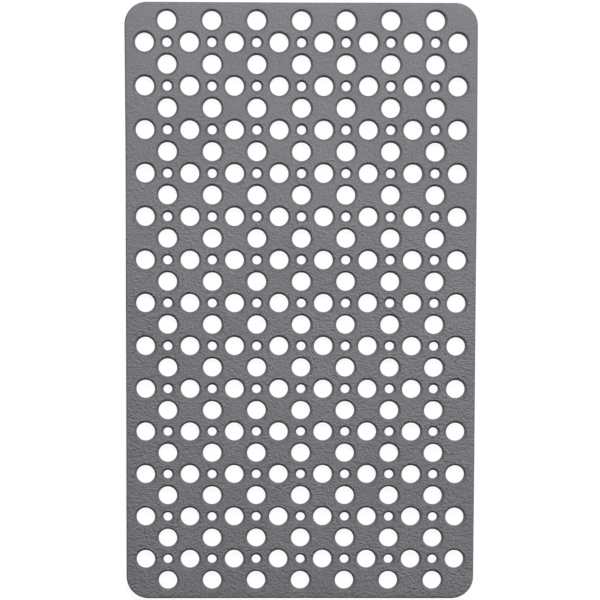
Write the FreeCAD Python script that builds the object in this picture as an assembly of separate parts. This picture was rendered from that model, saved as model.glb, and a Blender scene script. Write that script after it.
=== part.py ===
"""Perforated anti-fatigue mat: a skinned foam cushion on a grip sheet with suction cups.

The frame is the mat's own: X across its width, Y along its length and +Z up. The
origin is on the floor, under the middle of the mat. All sizes are in millimetres.
"""

import FreeCAD
import Part

import os

# --- Overall size ---
mat_width = 400.0
mat_length = 684.0
corner_radius = 25.5

# --- Layers, from the floor up ---
cup_height = 4.0
base_thickness = 2.0
foam_thickness = 5.0
skin_thickness = 1.0

# --- The grid of cells: a large hole, a small hole or a solid land in each ---
column_count = 15
row_count = 27
side_margin = 22.2  # from the mat's side to the outermost cell centres
end_margin = 20.7  # from the mat's end to the outermost cell centres
large_hole_diameter = 21.2
small_hole_diameter = 10.3

# --- Skin details ---
bevel_width = 2.5  # the sloping mouth of each hole
bevel_depth = 4.0
edge_rounding = 2.0  # where the skin rolls over the outer edge
collar_spare = 0.4  # how far each hole's lining reaches past the bevel above it
skirt_wall = 1.5  # the skin's outer wall
foam_clearance = 0.3  # between the foam and the skin's linings

# --- Base and suction cups ---
base_edge_break = 0.5
cup_diameter = 21.0
cup_lip_width = 1.0  # the flat ring that meets the floor
cup_lip_thickness = 0.6
cup_dish_depth = 1.8
cup_bell_rise = 0.3  # how far the bell bulges out of a plain cone
cup_neck_diameter = 9.0
cup_neck_height = 1.0
spigot_diameter = 6.0
spigot_length = 1.2
socket_clearance = 0.1  # round the spigot and above it

# --- Levels and pitches that follow ---
base_bottom = cup_height
base_top = base_bottom + base_thickness
foam_top = base_top + foam_thickness
skin_top = foam_top + skin_thickness
collar_wall = bevel_width + collar_spare
column_pitch = (mat_width - 2 * side_margin) / (column_count - 1)
row_pitch = (mat_length - 2 * end_margin) / (row_count - 1)

near = 0.01  # how close an edge counts as being at a level or on the outline
up = FreeCAD.Vector(0, 0, 1)


def cell_centre(column, row):
    """The middle of a cell; row 0 is at the +Y end and column 0 at the -X side."""
    across = (column - (column_count - 1) / 2) * column_pitch
    along = ((row_count - 1) / 2 - row) * row_pitch
    return across, along


def cell_kind(column, row):
    """Large holes alternate with lands in even rows and with small holes in odd rows."""
    if (column + row) % 2 == 1:
        return "large"
    return "small" if row % 2 == 1 else "land"


def cells(kind):
    """The centres of all cells of one kind, row by row."""
    return [
        cell_centre(column, row)
        for row in range(row_count)
        for column in range(column_count)
        if cell_kind(column, row) == kind
    ]


def rounded_rectangle(inset, level):
    """The mat's outline, moved inwards by the inset, as a closed wire."""
    half_x = mat_width / 2 - inset
    half_y = mat_length / 2 - inset
    radius = corner_radius - inset
    corners = []
    for quarter, (side_x, side_y) in enumerate([(1, 1), (-1, 1), (-1, -1), (1, -1)]):
        middle = FreeCAD.Vector(side_x * (half_x - radius), side_y * (half_y - radius), level)
        corners.append(Part.makeCircle(radius, middle, up, 90 * quarter, 90 * (quarter + 1)))
    edges = []
    for number, corner in enumerate(corners):
        following = corners[(number + 1) % 4]
        edges.append(corner)
        edges.append(Part.makeLine(corner.lastVertex().Point, following.firstVertex().Point))
    return Part.Wire(edges)


def circle(centre, radius, level):
    """A round hole's outline as a closed wire."""
    middle = FreeCAD.Vector(centre[0], centre[1], level)
    return Part.Wire([Part.makeCircle(radius, middle, up)])


def perforated_plate(bottom, top, inset, hole_growth):
    """A plate of the mat's outline with every hole in it, each grown by the same amount."""
    wires = [rounded_rectangle(inset, bottom)]
    for centre in cells("large"):
        wires.append(circle(centre, large_hole_diameter / 2 + hole_growth, bottom))
    for centre in cells("small"):
        wires.append(circle(centre, small_hole_diameter / 2 + hole_growth, bottom))
    face = Part.makeFace(wires, "Part::FaceMakerBullseye")
    return face.extrude(up * (top - bottom))


def edges_at(shape, level):
    """The edges that lie wholly at one level."""
    return [
        edge
        for edge in shape.Edges
        if abs(edge.BoundBox.ZMin - level) < near and abs(edge.BoundBox.ZMax - level) < near
    ]


def is_outline(edge):
    """True for an edge of the mat's outer outline."""
    box = edge.BoundBox
    reach_x = max(abs(box.XMin), abs(box.XMax))
    reach_y = max(abs(box.YMin), abs(box.YMax))
    return reach_x > mat_width / 2 - near or reach_y > mat_length / 2 - near


def make_top_skin():
    """The wear skin: a sheet with a lining down each hole and a skirt round the outside."""
    block = perforated_plate(base_top, skin_top, 0, 0)
    rims = [edge for edge in edges_at(block, skin_top) if not is_outline(edge)]
    block = block.makeChamfer(bevel_depth, bevel_width, rims)
    outline = [edge for edge in edges_at(block, skin_top) if is_outline(edge)]
    block = block.makeFillet(edge_rounding, outline)
    hollow = perforated_plate(base_top, foam_top, skirt_wall, collar_wall)
    return block.cut(hollow)


def make_cushion_core():
    """The foam that fills the skin's hollow, a little clear of its linings and skirt."""
    return perforated_plate(
        base_top, foam_top, skirt_wall + foam_clearance, collar_wall + foam_clearance
    )


def make_base_sheet():
    """The grip sheet that closes the skin from below, with a blind socket for each cup."""
    sheet = perforated_plate(base_bottom, base_top, 0, 0)
    outline = [edge for edge in edges_at(sheet, base_bottom) if is_outline(edge)]
    sheet = sheet.makeChamfer(base_edge_break, outline)
    depth = spigot_length + socket_clearance
    radius = spigot_diameter / 2 + socket_clearance
    sockets = [
        Part.makeCylinder(radius, depth, FreeCAD.Vector(x, y, base_bottom))
        for x, y in cells("land")
    ]
    return sheet.cut(Part.makeCompound(sockets))


def make_cup():
    """One suction cup, standing on the origin: lip, dish, neck and a spigot on top."""
    lip_outer = cup_diameter / 2
    lip_inner = lip_outer - cup_lip_width
    neck = cup_neck_diameter / 2
    neck_bottom = cup_height - cup_neck_height
    spigot = spigot_diameter / 2
    spigot_top = cup_height + spigot_length

    def at(radius, height):
        return FreeCAD.Vector(radius, 0, height)

    def bulge(start, end, rise):
        """An arc from start to end whose middle is raised above the chord's middle."""
        middle = (start + end) * 0.5 + up * rise
        return Part.Arc(start, middle, end).toShape()

    # Half of a shallow arc rises above its own chord by a quarter of the whole height.
    dish = bulge(at(0, cup_dish_depth), at(lip_inner, 0), cup_dish_depth / 4)
    bell = bulge(at(lip_outer, cup_lip_thickness), at(neck, neck_bottom), cup_bell_rise)
    corners = [
        [at(lip_inner, 0), at(lip_outer, 0)],
        [at(lip_outer, 0), at(lip_outer, cup_lip_thickness)],
    ]
    upper = [
        [at(neck, neck_bottom), at(neck, cup_height)],
        [at(neck, cup_height), at(spigot, cup_height)],
        [at(spigot, cup_height), at(spigot, spigot_top)],
        [at(spigot, spigot_top), at(0, spigot_top)],
        [at(0, spigot_top), at(0, cup_dish_depth)],
    ]
    edges = [dish]
    edges += [Part.makeLine(*ends) for ends in corners]
    edges.append(bell)
    edges += [Part.makeLine(*ends) for ends in upper]
    section = Part.Face(Part.Wire(edges))
    return section.revolve(FreeCAD.Vector(0, 0, 0), up, 360)


def make_cup_row(cup, row):
    """A cup under each solid land of one row of cells."""
    cups = []
    for column in range(column_count):
        if cell_kind(column, row) == "land":
            x, y = cell_centre(column, row)
            cups.append(cup.translated(FreeCAD.Vector(x, y, 0)))
    return Part.makeCompound(cups)


def main():
    nodes = {
        "top_skin": make_top_skin(),
        "cushion_core": make_cushion_core(),
        "base_sheet": make_base_sheet(),
    }
    cup = make_cup()
    cup_rows = [row for row in range(row_count) if cell_kind(0, row) == "land"]
    for number, row in enumerate(cup_rows, start=1):
        nodes[f"suction_cups_row_{number:02d}"] = make_cup_row(cup, row)

    os.makedirs("parts", exist_ok=True)
    for name, shape in nodes.items():
        shape.exportStep(f"parts/{name}.step")
        print(name, len(shape.Solids), "solids, valid:", shape.isValid())


main()
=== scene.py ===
"""The looks of a perforated anti-fatigue mat: a grained skin, foam, a grip base and cups."""

import math
import random

import bmesh
import bpy
from mathutils import Matrix, Vector
from mathutils.geometry import delaunay_2d_cdt


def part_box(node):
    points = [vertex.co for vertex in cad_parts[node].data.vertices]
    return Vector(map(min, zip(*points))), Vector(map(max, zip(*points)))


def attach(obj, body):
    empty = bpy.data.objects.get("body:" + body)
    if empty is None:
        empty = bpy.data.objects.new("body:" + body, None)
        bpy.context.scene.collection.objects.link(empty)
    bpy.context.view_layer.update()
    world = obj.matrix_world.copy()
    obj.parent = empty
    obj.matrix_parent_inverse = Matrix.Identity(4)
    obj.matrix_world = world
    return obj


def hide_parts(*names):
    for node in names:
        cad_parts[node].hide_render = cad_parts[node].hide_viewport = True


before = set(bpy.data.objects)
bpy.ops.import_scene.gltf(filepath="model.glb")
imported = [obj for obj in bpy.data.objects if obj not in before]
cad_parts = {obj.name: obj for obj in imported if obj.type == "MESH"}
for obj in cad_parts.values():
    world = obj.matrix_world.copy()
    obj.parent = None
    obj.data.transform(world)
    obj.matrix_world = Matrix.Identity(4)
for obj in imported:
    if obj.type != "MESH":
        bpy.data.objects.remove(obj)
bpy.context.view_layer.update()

mm = 0.001

# --- The grid of cells and its holes ---
column_count = 15
row_count = 27
side_margin = 22.2 * mm
end_margin = 20.7 * mm
large_radius = 10.6 * mm  # below the bevel
small_radius = 5.15 * mm
corner_radius = 25.5 * mm

# --- Layers, read from the frame ---
_, skin_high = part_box("top_skin")
_, foam_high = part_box("cushion_core")
base_low, base_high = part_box("base_sheet")
half_width = skin_high[0]
half_length = skin_high[1]
skin_top = skin_high[2]
foam_top = foam_high[2]
base_top = base_high[2]
base_bottom = base_low[2]

column_pitch = (2 * half_width - 2 * side_margin) / (column_count - 1)
row_pitch = (2 * half_length - 2 * end_margin) / (row_count - 1)

# --- Walls, mouths and edges ---
bevel_width = 2.5 * mm  # the sloping mouth of each hole
bevel_depth = 4.0 * mm
bevel_softness = 0.3 * mm  # how much its two edges are rounded
edge_rounding = 2.0 * mm  # where the skin rolls over the outer edge
collar_wall = 2.9 * mm  # the skin's lining down each hole
skirt_wall = 1.5 * mm  # the skin's outer wall
foam_clearance = 0.3 * mm  # between the foam and the skin's linings
base_edge_break = 0.5 * mm

# --- Suction cups ---
cup_radius = 10.5 * mm
cup_lip_width = 1.0 * mm
cup_lip_thickness = 0.6 * mm
cup_lip_break = 0.15 * mm  # how much the lip's two edges are broken
cup_dish_depth = 1.8 * mm
cup_bell_step = 0.2 * mm  # how far the bell starts inside the lip
cup_bell_bulge = 0.8 * mm
cup_neck_radius = 4.5 * mm
cup_neck_height = 1.0 * mm
cup_neck_blend = 0.5 * mm  # the fillet where the bell meets the neck
spigot_radius = 3.0 * mm
spigot_length = 1.2 * mm
socket_clearance = 0.1 * mm

# --- How finely the round shapes are divided ---
large_sides = 36
small_sides = 22
socket_sides = 16
cup_sides = 40
corner_steps = 12
edge_spacing = 12 * mm
roll_steps = 5
dish_steps = 8
bell_steps = 7
sharp_edge = math.radians(50)  # a bend sharper than this is a hard edge

# --- The lie of the soft mat ---
drift = 0.25 * mm  # how far the soft sheet strays sideways from its mould
bend = 0.9 * mm  # how far its +Y end leans to one side
bend_start = 0.3  # where that begins, as a share of the way from the middle to the end
bend_curve = 1.5
dip = 0.3 * mm  # how far the top sinks in its lowest places


# ---------------------------------------------------------------- the grid

def cell_centre(column, row):
    """The middle of a cell; row 0 is at the +Y end and column 0 at the -X side."""
    across = (column - (column_count - 1) / 2) * column_pitch
    along = ((row_count - 1) / 2 - row) * row_pitch
    return across, along


def cell_kind(column, row):
    """Large holes alternate with lands in even rows and with small holes in odd rows."""
    if (column + row) % 2 == 1:
        return "large"
    return "small" if row % 2 == 1 else "land"


def cells(kind):
    """The centres of all cells of one kind, row by row."""
    return [
        cell_centre(column, row)
        for row in range(row_count)
        for column in range(column_count)
        if cell_kind(column, row) == kind
    ]


holes = [(x, y, large_radius, large_sides) for x, y in cells("large")]
holes += [(x, y, small_radius, small_sides) for x, y in cells("small")]
lands = cells("land")


# ------------------------------------------------- the lie of the soft mat

def make_waves(count, shortest, longest, seed):
    """Slow waves in random directions: x and y steps, a phase and a share of the whole."""
    draw = random.Random(seed)
    waves = []
    for _ in range(count):
        step = math.tau / draw.uniform(shortest, longest)
        heading = draw.uniform(0, math.tau)
        phase = draw.uniform(0, math.tau)
        waves.append((step * math.cos(heading), step * math.sin(heading), phase, 1 / count))
    return waves


across_waves = make_waves(count=4, shortest=0.25, longest=0.70, seed=3)
along_waves = make_waves(count=4, shortest=0.25, longest=0.70, seed=8)
height_waves = make_waves(count=7, shortest=0.08, longest=0.30, seed=21)


def wave_value(waves, x, y):
    """The waves' sum at a point, from -1 to 1."""
    return sum(share * math.sin(a * x + b * y + phase) for a, b, phase, share in waves)


def lie(x, y, z):
    """Where a point of the moulded shape lies once the soft mat is laid down."""
    share = min(max((z - base_top) / (skin_top - base_top), 0), 1)
    far_end = max(y / half_length - bend_start, 0) / (1 - bend_start)
    return (
        x + drift * wave_value(across_waves, x, y) - bend * far_end ** bend_curve,
        y + drift * wave_value(along_waves, x, y),
        z - share * dip * (1 + wave_value(height_waves, x, y)) / 2,
    )


# ------------------------------------------------------------ mesh helpers

def outline_corners(inset):
    """The rounded outline's corner arcs, moved inwards, anticlockwise, as flat points."""
    radius = corner_radius - inset
    points = []
    for quarter, (side_x, side_y) in enumerate([(1, 1), (-1, 1), (-1, -1), (1, -1)]):
        middle_x = side_x * (half_width - inset - radius)
        middle_y = side_y * (half_length - inset - radius)
        for step in range(corner_steps + 1):
            angle = math.radians(90 * (quarter + step / corner_steps))
            points.append((middle_x + radius * math.cos(angle), middle_y + radius * math.sin(angle)))
    return points


def outline(inset):
    """The rounded outline with its sides divided too; every inset has as many points."""
    full_size = outline_corners(0)
    corners = outline_corners(inset)
    points = []
    for index, start in enumerate(corners):
        following = (index + 1) % len(corners)
        end = corners[following]
        whole = math.dist(full_size[index], full_size[following])
        lengths = max(1, round(whole / edge_spacing))
        for step in range(lengths):
            t = step / lengths
            points.append((start[0] + (end[0] - start[0]) * t, start[1] + (end[1] - start[1]) * t))
    return points


def ring(x, y, radius, sides):
    """A circle's points, anticlockwise."""
    turn = math.tau / sides
    return [(x + radius * math.cos(turn * k), y + radius * math.sin(turn * k)) for k in range(sides)]


def roll(rounding):
    """The steps of a rounded edge, from the flat to the wall: (sideways, down)."""
    steps = []
    for step in range(1, roll_steps + 1):
        angle = math.pi / 2 * step / roll_steps
        steps.append((rounding * math.sin(angle), rounding * (1 - math.cos(angle))))
    return steps


def mouth():
    """A hole's bevelled mouth, from the flat to the wall: (out from the wall, down, turned)."""
    near = bevel_softness / 2
    slope = math.hypot(bevel_width, bevel_depth)
    across = near * bevel_width / slope
    down = near * bevel_depth / slope
    return [
        (bevel_width + 3 * near, 0, 0.0),
        (bevel_width + near, 0, 0.0),
        (bevel_width - across, down, 1.0),
        (across, bevel_depth - down, 1.0),
        (0, bevel_depth + near, 1.0),
    ]


class Shell:
    """Collects the vertices and faces of one closed mesh.

    Each vertex also says how far the surface has turned down over an edge, from 0 to 1.
    """

    def __init__(self):
        self.vertices = []
        self.faces = []
        self.turned = []

    def loop(self, points, level, turned=0.0):
        """Adds a loop of flat points at one level and returns their numbers."""
        start = len(self.vertices)
        self.vertices += [(x, y, level) for x, y in points]
        self.turned += [turned] * len(points)
        return list(range(start, len(self.vertices)))

    def band(self, first, second):
        """Joins two loops of as many points with quads."""
        count = len(first)
        for k in range(count):
            n = (k + 1) % count
            self.faces.append((first[k], first[n], second[n], second[k]))
        return second

    def sheet(self, rim, openings, inner_points=()):
        """Fills the flat between an outer loop and its openings, which are all convex."""
        level = self.vertices[rim[0]][2]
        numbers = []
        owners = []
        edges = []
        for owner, points in enumerate([rim] + openings):
            first = len(numbers)
            edges += [(first + k, first + (k + 1) % len(points)) for k in range(len(points))]
            numbers += points
            owners += [owner] * len(points)
        inner = self.loop(inner_points, level)
        numbers += inner
        owners += [0] * len(inner)
        flat = [Vector(self.vertices[number][:2]) for number in numbers]
        _, _, triangles, origins, _, _ = delaunay_2d_cdt(flat, edges, [], 1, 1e-9)
        for triangle in triangles:
            corners = [origins[k][0] for k in triangle]
            owner = owners[corners[0]]
            if owner > 0 and all(owners[k] == owner for k in corners):
                continue  # this triangle lies in an opening
            self.faces.append(tuple(numbers[k] for k in corners))

    def cap(self, loop):
        """Closes a loop with one face."""
        self.faces.append(tuple(loop))

    def piece(self, name, material):
        """Makes the object, with every point moved to where the soft mat lies."""
        mesh = bpy.data.meshes.new(name)
        mesh.from_pydata([lie(*vertex) for vertex in self.vertices], [], self.faces)
        work = bmesh.new()
        work.from_mesh(mesh)
        bmesh.ops.recalc_face_normals(work, faces=work.faces)
        work.to_mesh(mesh)
        work.free()
        mask = mesh.attributes.new("turned", "FLOAT", "POINT")
        mask.data.foreach_set("value", self.turned)
        return place(mesh, name, material)


def place(mesh, name, material):
    """Makes a piece of the mat from a mesh, smooth-shaded but for its hard edges."""
    mesh.shade_smooth()
    mesh.set_sharp_from_angle(angle=sharp_edge)
    mesh.materials.append(material)
    obj = bpy.data.objects.new(name, mesh)
    bpy.context.scene.collection.objects.link(obj)
    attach(obj, "root")
    return obj


# ------------------------------------------------------------- node helpers

def new_group(name, inputs, outputs):
    """A shader node group with its sockets; returns it with its entry and its exit."""
    group = bpy.data.node_groups.new(name, "ShaderNodeTree")
    for label, kind, value in inputs:
        socket = group.interface.new_socket(name=label, in_out="INPUT", socket_type=kind)
        if value is not None:
            socket.default_value = value
    for label, kind in outputs:
        group.interface.new_socket(name=label, in_out="OUTPUT", socket_type=kind)
    entry = group.nodes.new("NodeGroupInput")
    leave = group.nodes.new("NodeGroupOutput")
    return group, entry, leave


def math_node(tree, operation, first, second):
    """A Math node whose operands are sockets or numbers; returns its output."""
    node = tree.nodes.new("ShaderNodeMath")
    node.operation = operation
    for index, value in enumerate((first, second)):
        if isinstance(value, (int, float)):
            node.inputs[index].default_value = value
        else:
            tree.links.new(value, node.inputs[index])
    return node.outputs[0]


def remap(tree, value, from_low, from_high, to_low, to_high):
    """A smooth, clamped Map Range; returns its output."""
    node = tree.nodes.new("ShaderNodeMapRange")
    node.interpolation_type = "SMOOTHSTEP"
    tree.links.new(value, node.inputs["Value"])
    for label, number in (("From Min", from_low), ("From Max", from_high),
                          ("To Min", to_low), ("To Max", to_high)):
        node.inputs[label].default_value = number
    return node.outputs["Result"]


def noise(tree, vector, scale, detail, roughness=0.5):
    """A Noise texture over a vector; returns its node."""
    node = tree.nodes.new("ShaderNodeTexNoise")
    node.inputs["Detail"].default_value = detail
    node.inputs["Roughness"].default_value = roughness
    if isinstance(scale, (int, float)):
        node.inputs["Scale"].default_value = scale
    else:
        tree.links.new(scale, node.inputs["Scale"])
    tree.links.new(vector, node.inputs["Vector"])
    return node


def mix_colour(tree, factor, first, second):
    """A colour Mix of two colours or sockets; returns its output."""
    node = tree.nodes.new("ShaderNodeMix")
    node.data_type = "RGBA"
    tree.links.new(factor, node.inputs["Factor"])
    for label, value in (("A", first), ("B", second)):
        socket = [s for s in node.inputs if s.name == label and s.type == "RGBA"][0]
        if isinstance(value, tuple):
            socket.default_value = value
        else:
            tree.links.new(value, socket)
    return [s for s in node.outputs if s.type == "RGBA"][0]


# -------------------------------------------------------------- node groups

def make_leather_grain():
    """Irregular pebbles with creases between them, as embossed into vinyl."""
    pebble_height = 0.35
    lump_height = 1.3
    wrinkle_height = 0.22
    fading = 0.7  # how much of the grain goes where the skin turns down over an edge
    stray_width = 1.6 * mm  # how far the pebbles are pushed out of shape
    group, entry, leave = new_group(
        "leather grain",
        [("Vector", "NodeSocketVector", None), ("Scale", "NodeSocketFloat", 600.0),
         ("Turned", "NodeSocketFloat", 0.0)],
        [("Height", "NodeSocketFloat"), ("Crease", "NodeSocketFloat")],
    )
    scale = entry.outputs["Scale"]
    stretch = group.nodes.new("ShaderNodeVectorMath")
    stretch.operation = "MULTIPLY"
    group.links.new(entry.outputs["Vector"], stretch.inputs[0])
    stretch.inputs[1].default_value = (0.85, 1.0, 1.0)  # the grain runs across the mat
    stretched = stretch.outputs[0]
    stray = noise(group, stretched, math_node(group, "MULTIPLY", scale, 0.6), 2.0)
    bent = group.nodes.new("ShaderNodeVectorMath")
    bent.operation = "MULTIPLY_ADD"
    group.links.new(stray.outputs["Color"], bent.inputs[0])
    bent.inputs[1].default_value = (stray_width,) * 3
    group.links.new(stretched, bent.inputs[2])

    pebbles = group.nodes.new("ShaderNodeTexVoronoi")
    pebbles.feature = "DISTANCE_TO_EDGE"
    group.links.new(bent.outputs[0], pebbles.inputs["Vector"])
    group.links.new(scale, pebbles.inputs["Scale"])
    dome = remap(group, pebbles.outputs["Distance"], 0.0, 0.40, 0.0, 1.0)
    crease = remap(group, pebbles.outputs["Distance"], 0.0, 0.10, 1.0, 0.0)

    lumps = noise(group, stretched, math_node(group, "MULTIPLY", scale, 0.9), 1.5, 0.5)
    wrinkles = noise(group, stretched, math_node(group, "MULTIPLY", scale, 3.2), 3.0, 0.6)
    patch = noise(group, stretched, math_node(group, "MULTIPLY", scale, 0.05), 3.0, 0.55)
    depth = remap(group, patch.outputs["Fac"], 0.3, 0.7, 0.75, 1.15)
    pebbled = math_node(group, "MULTIPLY", dome, pebble_height)
    lumpy = math_node(group, "MULTIPLY", lumps.outputs["Fac"], lump_height)
    wrinkled = math_node(group, "MULTIPLY", wrinkles.outputs["Fac"], wrinkle_height)
    relief = math_node(group, "ADD", math_node(group, "ADD", pebbled, lumpy), wrinkled)
    height = math_node(group, "MULTIPLY", relief, depth)
    faded = math_node(group, "MULTIPLY", entry.outputs["Turned"], fading)
    kept = math_node(group, "SUBTRACT", 1.0, faded)
    group.links.new(math_node(group, "MULTIPLY", height, kept), leave.inputs["Height"])
    group.links.new(math_node(group, "MULTIPLY", crease, kept), leave.inputs["Crease"])
    return group


def make_cloudy_tone():
    """Slow unevenness of a moulded colour, with fine specks in it; both around 0.5."""
    group, entry, leave = new_group(
        "cloudy tone",
        [("Vector", "NodeSocketVector", None), ("Cloud Scale", "NodeSocketFloat", 9.0),
         ("Speck Scale", "NodeSocketFloat", 900.0)],
        [("Cloud", "NodeSocketFloat"), ("Speck", "NodeSocketFloat")],
    )
    cloud = noise(group, entry.outputs["Vector"], entry.outputs["Cloud Scale"], 4.0, 0.55)
    speck = noise(group, entry.outputs["Vector"], entry.outputs["Speck Scale"], 2.0, 0.6)
    group.links.new(cloud.outputs["Fac"], leave.inputs["Cloud"])
    group.links.new(speck.outputs["Fac"], leave.inputs["Speck"])
    return group


leather_grain = make_leather_grain()
cloudy_tone = make_cloudy_tone()


# ---------------------------------------------------------------- materials

def new_material(name):
    """A material, with its node tree, its Principled shader and the piece's own coordinates."""
    material = bpy.data.materials.new(name)
    material.use_nodes = True
    tree = material.node_tree
    shader = tree.nodes["Principled BSDF"]
    where = tree.nodes.new("ShaderNodeTexCoord").outputs["Object"]
    return material, tree, shader, where


def use_group(tree, group, where, **values):
    """Places a node group in a material with its own values."""
    node = tree.nodes.new("ShaderNodeGroup")
    node.node_tree = group
    tree.links.new(where, node.inputs["Vector"])
    for label, value in values.items():
        node.inputs[label.replace("_", " ")].default_value = value
    return node


def raise_bumps(tree, shader, height, distance):
    """Feeds a height through a Bump node into the shader's normal."""
    bump = tree.nodes.new("ShaderNodeBump")
    bump.inputs["Distance"].default_value = distance
    tree.links.new(height, bump.inputs["Height"])
    tree.links.new(bump.outputs["Normal"], shader.inputs["Normal"])


def make_skin_vinyl():
    """Soft grey vinyl with an embossed leather grain, smoother in the holes' mouths, with painted shade
    darkening the mouths and the grain's creases.
    """
    dark_grey = (0.180, 0.183, 0.197, 1)
    light_grey = (0.206, 0.209, 0.224, 1)
    fleck_grey = (0.255, 0.258, 0.272, 1)
    crease_shade_grey = (0.115, 0.117, 0.127, 1)
    painted_mouth_shade_grey = (0.130, 0.132, 0.143, 1)
    grain_height = 1.45 * mm
    material, tree, shader, where = new_material("skin_vinyl_grained")
    grain = use_group(tree, leather_grain, where, Scale=340.0)
    tone = use_group(tree, cloudy_tone, where, Cloud_Scale=8.0, Speck_Scale=1100.0)
    turned = tree.nodes.new("ShaderNodeAttribute")
    turned.attribute_name = "turned"
    tree.links.new(turned.outputs["Fac"], grain.inputs["Turned"])

    clouds = remap(tree, tone.outputs["Cloud"], 0.3, 0.7, 0.0, 1.0)
    body = mix_colour(tree, clouds, dark_grey, light_grey)
    specks = remap(tree, tone.outputs["Speck"], 0.35, 0.75, 0.0, 0.35)
    flecked = mix_colour(tree, specks, body, fleck_grey)
    # Painted shade: the grain's creases are darkened in the base colour.
    shaded = math_node(tree, "MULTIPLY", grain.outputs["Crease"], 0.30)
    crease_shaded_colour = mix_colour(tree, shaded, flecked, crease_shade_grey)
    # Painted shade: the holes' bevelled mouths and linings are darkened in the base colour.
    mouth_shade_share = math_node(tree, "MULTIPLY", turned.outputs["Fac"], 0.6)
    mouths = mix_colour(tree, mouth_shade_share, crease_shaded_colour, painted_mouth_shade_grey)
    tree.links.new(mouths, shader.inputs["Base Color"])

    rough = remap(tree, grain.outputs["Crease"], 0.0, 1.0, 0.56, 0.70)
    tree.links.new(rough, shader.inputs["Roughness"])
    shader.inputs["Specular IOR Level"].default_value = 0.25
    axes = tree.nodes.new("ShaderNodeSeparateXYZ")
    tree.links.new(where, axes.inputs[0])
    # The grain is worn shallower towards the +Y end.
    depth = remap(tree, axes.outputs["Y"], -0.02, 0.28, 1.0, 0.5)
    raise_bumps(tree, shader, math_node(tree, "MULTIPLY", grain.outputs["Height"], depth), grain_height)
    return material


def make_foam():
    """Closed-cell foam: matt, with a fine open texture of cut cells whose pores are darkened with
    painted shade.
    """
    dark_foam = (0.130, 0.132, 0.140, 1)
    light_foam = (0.180, 0.182, 0.190, 1)
    pore_shade_grey = (0.07, 0.07, 0.075, 1)
    material, tree, shader, where = new_material("foam_cells")
    tone = use_group(tree, cloudy_tone, where, Cloud_Scale=30.0, Speck_Scale=1500.0)
    bubbles = tree.nodes.new("ShaderNodeTexVoronoi")
    bubbles.inputs["Scale"].default_value = 1400.0
    tree.links.new(where, bubbles.inputs["Vector"])
    pores = remap(tree, bubbles.outputs["Distance"], 0.1, 0.6, 0.0, 1.0)
    body = mix_colour(tree, tone.outputs["Cloud"], dark_foam, light_foam)
    # Painted shade: the pores of the cut cells are darker in the base colour.
    pore_shaded_colour = mix_colour(tree, pores, pore_shade_grey, body)
    tree.links.new(pore_shaded_colour, shader.inputs["Base Color"])
    shader.inputs["Roughness"].default_value = 0.95
    raise_bumps(tree, shader, pores, 0.15 * mm)
    return material


def make_grip_base():
    """The plain underside: matt vinyl with a close pimpled grip texture."""
    dark_base = (0.155, 0.158, 0.170, 1)
    light_base = (0.185, 0.188, 0.200, 1)
    dust_grey = (0.260, 0.262, 0.272, 1)
    material, tree, shader, where = new_material("grip_base_pimpled")
    tone = use_group(tree, cloudy_tone, where, Cloud_Scale=10.0, Speck_Scale=1000.0)
    pimples = tree.nodes.new("ShaderNodeTexVoronoi")
    pimples.inputs["Scale"].default_value = 620.0
    pimples.inputs["Randomness"].default_value = 0.25
    tree.links.new(where, pimples.inputs["Vector"])
    domes = remap(tree, pimples.outputs["Distance"], 0.1, 0.5, 1.0, 0.0)
    clouds = remap(tree, tone.outputs["Cloud"], 0.3, 0.7, 0.0, 1.0)
    body = mix_colour(tree, clouds, dark_base, light_base)
    dust = math_node(tree, "MULTIPLY", tone.outputs["Speck"], 0.25)
    dusty = mix_colour(tree, dust, body, dust_grey)
    tree.links.new(dusty, shader.inputs["Base Color"])
    rough = remap(tree, domes, 0.0, 1.0, 0.72, 0.55)
    tree.links.new(rough, shader.inputs["Roughness"])
    raise_bumps(tree, shader, domes, 0.20 * mm)
    return material


def make_cup_vinyl():
    """Softer, slightly glossy vinyl with a faintly uneven finish."""
    dark_cup = (0.150, 0.153, 0.166, 1)
    light_cup = (0.186, 0.190, 0.205, 1)
    material, tree, shader, where = new_material("cup_vinyl_smooth")
    tone = use_group(tree, cloudy_tone, where, Cloud_Scale=60.0, Speck_Scale=700.0)
    clouds = remap(tree, tone.outputs["Cloud"], 0.3, 0.7, 0.0, 1.0)
    body = mix_colour(tree, clouds, dark_cup, light_cup)
    tree.links.new(body, shader.inputs["Base Color"])
    rough = remap(tree, tone.outputs["Speck"], 0.3, 0.7, 0.30, 0.44)
    tree.links.new(rough, shader.inputs["Roughness"])
    raise_bumps(tree, shader, tone.outputs["Speck"], 0.05 * mm)
    return material


# ------------------------------------------------------------------- pieces

def make_top_skin(material):
    """The wear skin: its top, a bevelled mouth and a lining at each hole, and the skirt."""
    shell = Shell()
    top = shell.loop(outline(edge_rounding), skin_top)
    outside = top
    for step, (out, down) in enumerate(roll(edge_rounding), start=1):
        ring_points = outline(edge_rounding - out)
        outside = shell.band(outside, shell.loop(ring_points, skin_top - down, step / roll_steps))
    outside = shell.band(outside, shell.loop(outline(0), base_top, 1.0))
    outside = shell.band(outside, shell.loop(outline(skirt_wall), base_top))
    inside_edge = shell.band(outside, shell.loop(outline(skirt_wall), foam_top))

    rims = []
    linings = []
    for x, y, radius, sides in holes:
        steps = [
            shell.loop(ring(x, y, radius + out, sides), skin_top - down, turned)
            for out, down, turned in mouth()
        ]
        rims.append(steps[0])
        for upper, lower in zip(steps, steps[1:]):
            shell.band(upper, lower)
        inside = shell.band(steps[-1], shell.loop(ring(x, y, radius, sides), base_top, 1.0))
        lining = ring(x, y, radius + collar_wall, sides)
        inside = shell.band(inside, shell.loop(lining, base_top))
        linings.append(shell.band(inside, shell.loop(lining, foam_top)))
    shell.sheet(top, rims, lands)
    shell.sheet(inside_edge, linings, lands)
    return shell.piece("grained_skin", material)


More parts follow.
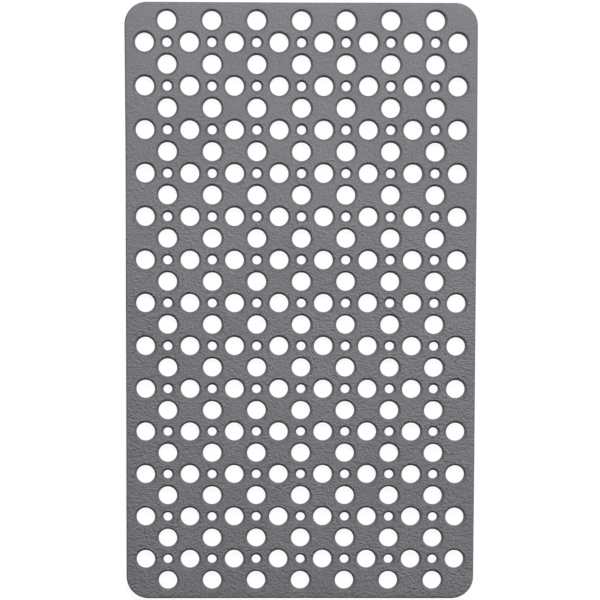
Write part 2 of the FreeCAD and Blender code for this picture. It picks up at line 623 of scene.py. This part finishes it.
def make_foam_core(material):
    """The foam sheet that fills the skin, a little clear of its linings."""
    shell = Shell()
    edge = outline(skirt_wall + foam_clearance)
    upper = shell.loop(edge, foam_top)
    lower = shell.band(upper, shell.loop(edge, base_top))
    upper_holes = []
    lower_holes = []
    for x, y, radius, sides in holes:
        circle = ring(x, y, radius + collar_wall + foam_clearance, sides)
        upper_holes.append(shell.loop(circle, foam_top))
        lower_holes.append(shell.band(upper_holes[-1], shell.loop(circle, base_top)))
    shell.sheet(upper, upper_holes, lands)
    shell.sheet(lower, lower_holes, lands)
    return shell.piece("foam_cushion", material)


def make_base(material):
    """The grip sheet, with a blind socket above each cup."""
    shell = Shell()
    socket_top = base_bottom + spigot_length + socket_clearance
    upper = shell.loop(outline(0), base_top)
    side = shell.band(upper, shell.loop(outline(0), base_bottom + base_edge_break))
    lower = shell.band(side, shell.loop(outline(base_edge_break), base_bottom))
    upper_holes = []
    lower_holes = []
    for x, y, radius, sides in holes:
        circle = ring(x, y, radius, sides)
        upper_holes.append(shell.loop(circle, base_top))
        lower_holes.append(shell.band(upper_holes[-1], shell.loop(circle, base_bottom)))
    for x, y in lands:
        circle = ring(x, y, spigot_radius + socket_clearance, socket_sides)
        opening = shell.loop(circle, base_bottom)
        lower_holes.append(opening)
        shell.cap(shell.band(opening, shell.loop(circle, socket_top)))
    shell.sheet(upper, upper_holes, lands)
    shell.sheet(lower, lower_holes)
    return shell.piece("grip_base", material)


def cup_section():
    """Half the section of a cup, from the dish's middle round to the spigot's middle."""
    lip_inner = cup_radius - cup_lip_width
    bell_outer = cup_radius - cup_bell_step
    bell_inner = cup_neck_radius + cup_neck_blend - cup_bell_step
    neck_bottom = base_bottom - cup_neck_height
    section = []
    for step in range(dish_steps + 1):
        t = step / dish_steps
        section.append((lip_inner * t, cup_dish_depth * (1 - t * t)))
    section.append((cup_radius - cup_lip_break, 0))
    section.append((cup_radius, cup_lip_break))
    section.append((cup_radius, cup_lip_thickness - cup_lip_break))
    for step in range(bell_steps + 1):
        t = step / bell_steps
        out = bell_outer + (bell_inner - bell_outer) * t
        bulge = cup_bell_bulge * t * (1 - t)
        section.append((out, cup_lip_thickness + (neck_bottom - cup_lip_thickness) * t + bulge))
    section.append((cup_neck_radius, neck_bottom + cup_neck_blend * 0.6))
    section.append((cup_neck_radius, base_bottom))
    section.append((spigot_radius, base_bottom))
    section.append((spigot_radius, base_bottom + spigot_length))
    section.append((0, base_bottom + spigot_length))
    return section


def make_cup_row(number, row, section, material):
    """The cups under the solid lands of one row of cells, as one piece."""
    work = bmesh.new()
    for column in range(column_count):
        if cell_kind(column, row) != "land":
            continue
        x, y = cell_centre(column, row)
        x, y, _ = lie(x, y, 0)
        previous = None
        for radius, height in section:
            circle = ring(x, y, radius, cup_sides) if radius > 0 else [(x, y)]
            current = [work.verts.new((*point, height)) for point in circle]
            if previous is not None:
                for k in range(cup_sides):
                    n = (k + 1) % cup_sides
                    corners = [previous[k % len(previous)], previous[n % len(previous)],
                               current[n % len(current)], current[k % len(current)]]
                    work.faces.new(list(dict.fromkeys(corners)))
            previous = current
    bmesh.ops.recalc_face_normals(work, faces=work.faces)
    name = f"soft_cups_row_{number:02d}"
    mesh = bpy.data.meshes.new(name)
    work.to_mesh(mesh)
    work.free()
    return place(mesh, name, material)


skin_vinyl = make_skin_vinyl()
foam_cells = make_foam()
grip_vinyl = make_grip_base()
cup_vinyl = make_cup_vinyl()

skin = make_top_skin(skin_vinyl)
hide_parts("top_skin")

foam = make_foam_core(foam_cells)
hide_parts("cushion_core")

base = make_base(grip_vinyl)
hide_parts("base_sheet")

section = cup_section()
cup_rows = [row for row in range(row_count) if cell_kind(0, row) == "land"]
for number, row in enumerate(cup_rows, start=1):
    cups = make_cup_row(number, row, section, cup_vinyl)
    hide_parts(f"suction_cups_row_{number:02d}")


# ---------------------------------------------------------- floor and light

def seen_directly(tree):
    """One for camera, mirror and see-through rays, and nought for diffuse ones."""
    path = tree.nodes.new("ShaderNodeLightPath")
    seen = math_node(tree, "MAXIMUM", path.outputs["Is Camera Ray"], path.outputs["Is Glossy Ray"])
    return math_node(tree, "MAXIMUM", seen, path.outputs["Is Transmission Ray"])


def make_floor():
    """A plain pale floor that looks white and still takes the mat's shadow."""
    reach = 30.0
    whiteness = 0.95
    shadow_grey = (0.09, 0.09, 0.09, 1)
    mesh = bpy.data.meshes.new("floor")
    corners = [(-reach, -reach, 0), (reach, -reach, 0), (reach, reach, 0), (-reach, reach, 0)]
    mesh.from_pydata(corners, [], [(0, 1, 2, 3)])
    obj = bpy.data.objects.new("floor", mesh)
    bpy.context.scene.collection.objects.link(obj)
    material = bpy.data.materials.new("floor_pale")
    material.use_nodes = True
    tree = material.node_tree
    tree.nodes.clear()
    glow = tree.nodes.new("ShaderNodeEmission")
    glow.inputs["Strength"].default_value = whiteness
    paint = tree.nodes.new("ShaderNodeBsdfDiffuse")
    paint.inputs["Color"].default_value = shadow_grey
    both = tree.nodes.new("ShaderNodeAddShader")
    tree.links.new(glow.outputs[0], both.inputs[0])
    tree.links.new(paint.outputs[0], both.inputs[1])
    choose = tree.nodes.new("ShaderNodeMixShader")
    tree.links.new(seen_directly(tree), choose.inputs[0])
    tree.links.new(paint.outputs[0], choose.inputs[1])
    tree.links.new(both.outputs[0], choose.inputs[2])
    leave = tree.nodes.new("ShaderNodeOutputMaterial")
    tree.links.new(choose.outputs[0], leave.inputs["Surface"])
    mesh.materials.append(material)


def make_world():
    """A low even light from all round."""
    world = bpy.data.worlds.new("studio")
    bpy.context.scene.world = world
    world.use_nodes = True
    background = world.node_tree.nodes["Background"]
    background.inputs["Color"].default_value = (1, 1, 1, 1)
    background.inputs["Strength"].default_value = 0.03


def make_lamp(name, place_at, aim_at, size, power, spread=180):
    """A square soft lamp that faces a point; a spread under 180 degrees narrows its beam."""
    light = bpy.data.lights.new(name, "AREA")
    light.size = size
    light.energy = power
    light.spread = math.radians(spread)
    lamp = bpy.data.objects.new(name, light)
    lamp.location = place_at
    lamp.rotation_euler = (Vector(aim_at) - Vector(place_at)).to_track_quat("-Z", "Y").to_euler()
    bpy.context.scene.collection.objects.link(lamp)


def make_camera():
    """A long lens high above the mat, nearer its +Y end."""
    place_at = Vector((-0.0535, 0.2871, 3.0))
    tilt = Matrix.Rotation(math.radians(-5.412), 4, "X")
    lean = Matrix.Rotation(math.radians(-0.981), 4, "Y")
    turn = Matrix.Rotation(math.radians(0.213), 4, "Z")
    data = bpy.data.cameras.new("camera")
    data.sensor_width = 36.0
    data.lens = 157.70
    camera = bpy.data.objects.new("camera", data)
    camera.matrix_world = Matrix.Translation(place_at) @ turn @ lean @ tilt
    bpy.context.scene.collection.objects.link(camera)
    bpy.context.scene.camera = camera


make_floor()
make_world()
make_lamp("key", (0.12, 1.57, 2.08), (0.0, -0.28, 0.0), size=0.5, power=20.2, spread=96)
make_lamp("right strip", (2.30, 0.10, 0.49), (0.0, 0.0, 0.0), size=0.6, power=16.0)
make_lamp("left strip", (-2.30, -0.10, 0.49), (0.0, 0.0, 0.0), size=0.6, power=5.0)
make_camera()
bpy.context.scene.view_settings.view_transform = "Standard"
